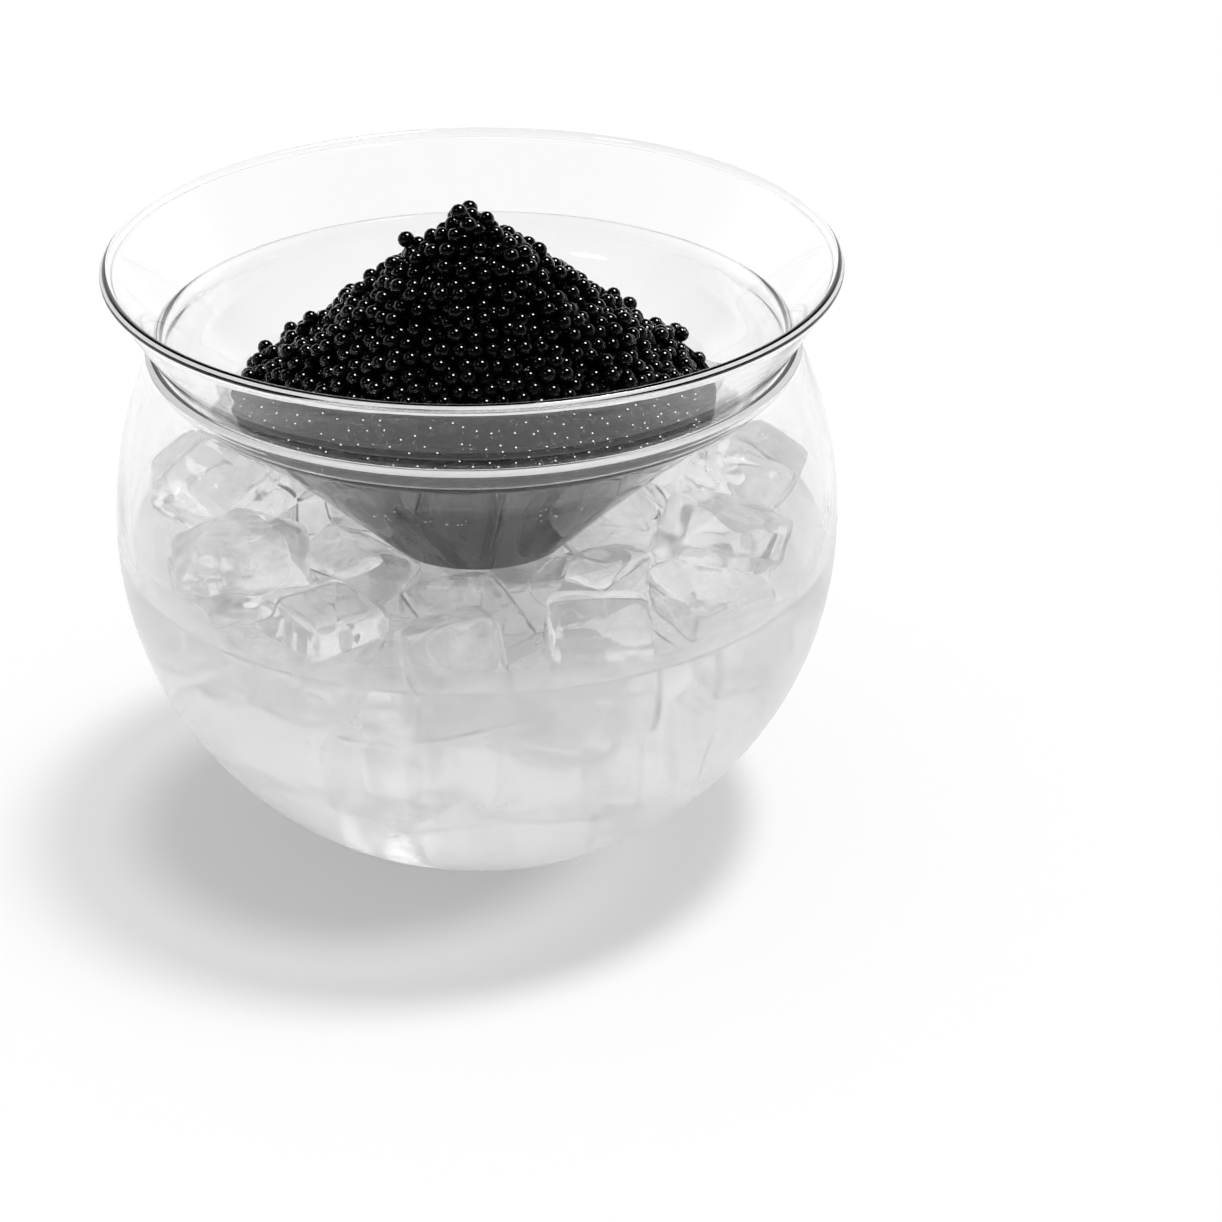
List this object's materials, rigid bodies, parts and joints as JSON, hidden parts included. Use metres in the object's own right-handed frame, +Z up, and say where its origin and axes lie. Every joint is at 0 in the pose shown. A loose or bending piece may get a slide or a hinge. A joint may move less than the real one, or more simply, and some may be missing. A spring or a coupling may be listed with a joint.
{
  "type": "caviar server",
  "caption": "Round glass bowl of ice with a conical glass dish of black caviar hanging in its mouth, for serving caviar chilled.",
  "frame": {"origin": "centre of the bowl's flat foot, on the table", "axes": "+Z up, along the axis of the bowl and the dish; the round forms have no front, and -Y is the side that the picture shows"},
  "size_m": [0.1512, 0.1512, 0.1407],
  "materials": {
    "glass": "clear blown glass, fire-polished edges",
    "ice": "clear ice, melting",
    "water": "clear meltwater",
    "roe": "black, wet and glossy"
  },
  "bodies": {
    "root": {"ice_bowl": "glass", "caviar_dish": "glass", "caviar": "roe", "meltwater": "water", "ice_cube_01": "ice", "ice_cube_02": "ice", "ice_cube_03": "ice", "ice_cube_04": "ice", "ice_cube_05": "ice", "ice_cube_06": "ice", "ice_cube_07": "ice", "ice_cube_08": "ice", "ice_cube_09": "ice", "ice_cube_10": "ice", "ice_cube_11": "ice", "ice_cube_12": "ice", "ice_cube_13": "ice", "ice_cube_14": "ice", "ice_cube_15": "ice", "ice_cube_16": "ice", "ice_cube_17": "ice", "ice_cube_18": "ice", "ice_cube_19": "ice", "ice_cube_20": "ice", "ice_cube_21": "ice", "ice_cube_22": "ice", "ice_cube_23": "ice", "ice_cube_24": "ice", "ice_cube_25": "ice", "ice_cube_26": "ice", "ice_cube_27": "ice", "ice_cube_28": "ice", "ice_cube_29": "ice", "ice_cube_30": "ice", "ice_cube_31": "ice", "ice_cube_32": "ice", "ice_cube_33": "ice", "ice_cube_34": "ice", "ice_cube_35": "ice"}
  },
  "joints": []
}
